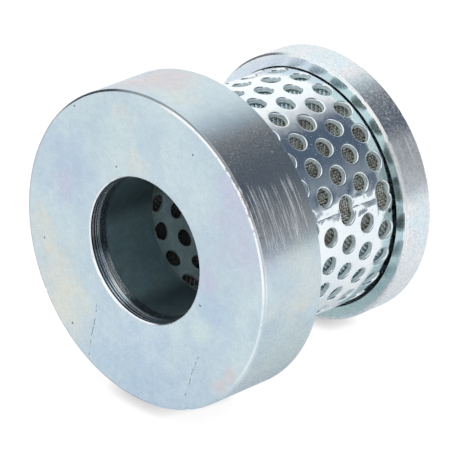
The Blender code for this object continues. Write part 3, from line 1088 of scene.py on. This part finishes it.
# ======== sheet, wire and wool ========
def bright_zinc_sheet():
    """Plated sheet, nearly a mirror, with rough sheared hole walls and a dented seam."""
    g = Finish("bright_zinc_sheet", shift=tuple(PLAY))
    surface = OUTER_TUBE_R / MM
    sheared = g.range(g.radius, surface - 0.40, surface - 0.20, 1.0, 0.0)
    cloud = g.noise(0.15, detail=4.0, seed=1.0)
    wave = g.noise(0.30, detail=2.0, seed=2.0)
    dents = g.noise(0.40, detail=1.0, roughness=0.4, distortion=0.3, seed=3.0)
    grain = g.noise(5.0, detail=4.0, roughness=0.7, seed=4.0)
    speck = g.range(g.noise(2.8, detail=2.0, seed=5.0), 0.64, 0.70)
    smudge = g.range(g.noise(0.5, detail=4.0, seed=6.0), 0.50, 0.66)
    from_seam = g.math("SUBTRACT", g.angle, math.degrees(OUTER_TUBE_SEAM))
    near_seam = g.range(g.math("ABSOLUTE", from_seam), 4.0, 14.0, 1.0, 0.0)
    colour = g.mix(g.range(cloud, 0.3, 0.7), SHEET_DARK, SHEET_LIGHT)
    colour = g.mix(sheared, colour, SHEARED_WALL)
    roughness = g.range(grain, 0.3, 0.7, 0.09, 0.17)
    roughness = g.math("ADD", roughness, g.highest(g.product(speck, 0.5), g.product(smudge, 0.10)))
    roughness = g.math("ADD", roughness, g.product(sheared, 0.25))
    metal = g.range(sheared, 0.0, 1.0, 1.0, 0.40)
    normal = g.bump(wave, 0.08 * MM)
    normal = g.bump(g.product(dents, near_seam), 0.75 * MM, normal)
    normal = g.bump(grain, 0.004 * MM, normal)
    return g.finish(colour, roughness, normal, metal=metal)


def drawn_steel(name, dark, light, bright_end, metal):
    """Thinly plated steel inside the bore, with faint marks of turning round it."""
    g = Finish(name)
    cloud = g.noise(0.2, detail=4.0, seed=1.0)
    stain = g.noise(0.6, detail=5.0, roughness=0.7, distortion=1.5, seed=2.0)
    marks = g.noise(1.0, g.lathe_space(2.5, 3.5), detail=4.0, roughness=0.7, seed=3.0)
    grain = g.noise(3.0, detail=4.0, roughness=0.7, seed=4.0)
    colour = g.mix(g.range(cloud, 0.3, 0.7), dark, light)
    colour = g.shade(g.range(stain, 0.60, 0.45), colour, 0.88)
    # painted shade: the bore's walls darker away from their lit side
    colour = g.shade(g.range(g.facing(BORE_LIT_SIDE), 0.97, 0.66), colour, 0.38)
    start = LEAD_IN_DEPTH / MM
    colour = g.shade(g.range(g.y, start + 0.06, start + 0.12, 1.0, 0.0), colour, 0.25)
    end = g.edge(SLEEVE_BORE_R, SLEEVE_HIGH.y, 0.30)
    colour = g.mix(g.product(end, bright_end), colour, CUT_END)
    roughness = g.range(grain, 0.3, 0.7, 0.34, 0.50)
    normal = g.bump(marks, 0.010 * MM)
    normal = g.bump(grain, 0.010 * MM, normal)
    return g.finish(colour, roughness, normal, metal=metal)


def steel_wire(name, dark, light, unshaded_colour):
    """Dull flecked wire, painted darker as shade in one band round the axis, and in its unshaded
    colour elsewhere.
    """
    g = Finish(name)
    cloud = g.noise(0.6, detail=4.0)
    fleck = g.range(g.noise(2.2, detail=2.0, seed=2.0), 0.58, 0.70)
    colour = g.mix(g.range(cloud, 0.35, 0.65), dark, light)
    # painted shade: the wire darker in one band round the axis
    colour = g.mix(g.band(g.angle, *WIRE_SHADE_BAND), unshaded_colour, colour)
    colour = g.mix(g.product(fleck, 0.4), colour, WIRE_FLECK)
    roughness = g.range(g.noise(6.0, seed=1.0), 0.3, 0.7, 0.35, 0.55)
    return g.finish(colour, roughness)


def steel_wool():
    """Dark packed wool, whose strands show as fine streaks and bumps."""
    g = Finish("steel_wool")
    strands = g.noise(3.0, detail=6.0, roughness=0.8, distortion=2.0)
    colour = g.mix(g.range(strands, 0.35, 0.65), WOOL_DARK, WOOL_LIGHT)
    normal = g.bump(strands, 0.2 * MM)
    return g.finish(colour, 0.5, normal)


# ======== table, light, camera ========
def table_frame():
    """The table's own axes, seen from the muffler's: it slopes up towards the rear flange."""
    return Matrix.Rotation(REST_TILT, 4, "X")


def table_look():
    """A white matt table. The camera sees it white up to a narrow painted shadow, darkened by
    ambient occlusion, where things touch it.
    """
    material = bpy.data.materials.new("white_table")
    g = Graph(material)
    g.nodes.clear()
    matt = g.node("BsdfDiffuse", {"Color": TABLE_COLOUR}).outputs[0]
    fill = g.glow("Emission", WHITE, TABLE_FILL)
    lit = g.node("AddShader", (matt, fill)).outputs[0]
    strength = TABLE_WHITE
    for reach, darkest in SHADOWS:
        sky = g.node("AmbientOcclusion", {"Distance": reach}, samples=SHADOW_SAMPLES)
        tone = g.range(sky.outputs["AO"], 0.0, OPEN_SKY, darkest, 1.0, kind="LINEAR")
        strength = g.product(tone, strength)
    # painted contact shadow: what the camera sees of the table, darkened near contact
    seen = g.glow("Emission", WHITE, strength)
    g.end("OutputMaterial", lit, seen)
    return material


def table():
    """A round white table under both flanges' rims."""
    touch = Vector((0.0, FRONT_WIDTH - EDGE_CHAMFER, -FRONT_R))
    mesh = bpy.data.meshes.new("table")
    bm = bmesh.new()
    bmesh.ops.create_circle(bm, cap_ends=True, segments=TABLE_SIDES, radius=TABLE_R)
    bm.to_mesh(mesh)
    bm.free()
    mesh.materials.append(table_look())
    top = bpy.data.objects.new("table", mesh)
    top.matrix_world = Matrix.Translation(touch) @ table_frame()
    bpy.context.scene.collection.objects.link(top)


def room():
    """White light all round, with a dark opening behind the muffler and a dark card on its left."""
    world = bpy.data.worlds.new("room")
    bpy.context.scene.world = world
    g = Graph(world)
    g.nodes.clear()
    direction = g.node("TexCoord").outputs["Generated"]
    axes = table_frame().to_3x3()
    right, back, height = (g.vector("DOT_PRODUCT", direction, axis) for axis in axes.col)
    bearing = g.math("DEGREES", g.math("ARCTAN2", right, back))
    opening = g.product(
        g.between(bearing, OPENING_LEFT, OPENING_RIGHT),
        g.between(height, OPENING_BOTTOM, OPENING_TOP),
    )
    dark = g.mix(g.range(height, *OPENING_RISE, kind="LINEAR"), OPENING_LOW, OPENING_HIGH)
    card = g.between(bearing, CARD_LEFT, CARD_RIGHT)
    card = g.product(card, g.range(height, *CARD_TOP, 1.0, 0.0))
    colour = g.mix(card, g.mix(opening, WHITE, dark), CARD_COLOUR)
    lamp = g.glow("Background", colour, ROOM_LIGHT)
    seen = g.glow("Background", WHITE, BACKDROP)
    g.end("OutputWorld", lamp, seen)


def camera():
    """The photo's long lens, aimed near the muffler's middle."""
    data = bpy.data.cameras.new("camera")
    data.sensor_width = SENSOR
    data.lens = CAMERA_LENS
    data.clip_start, data.clip_end = CAMERA_CLIP
    eye = bpy.data.objects.new("camera", data)
    turn = Matrix.Rotation(CAMERA_AZIMUTH, 4, "Z")
    lean = Matrix.Rotation(math.pi / 2 - CAMERA_ELEVATION, 4, "X")
    back = Matrix.Translation((0, 0, CAMERA_DISTANCE))
    eye.matrix_world = Matrix.Translation(CAMERA_AIM) @ table_frame() @ turn @ lean @ back
    bpy.context.scene.collection.objects.link(eye)
    bpy.context.scene.camera = eye


# ======== build ========
camera()
room()
table()
bpy.context.scene.view_settings.view_transform = "Standard"

plated = zinc_plated_steel()
front_flange(plated)
rear_flange(plated)
inlet_sleeve(drawn_steel("drawn_sleeve", SLEEVE_DARK, SLEEVE_LIGHT, bright_end=1.0, metal=0.92))
inner_tube(drawn_steel("drawn_tube", TUBE_DARK, TUBE_LIGHT, bright_end=0.0, metal=0.42))
outer_tube(bright_zinc_sheet())
gauzes(steel_wire("outer_wire", *OUTER_WIRE), steel_wire("inner_wire", *INNER_WIRE))
packing(steel_wool())
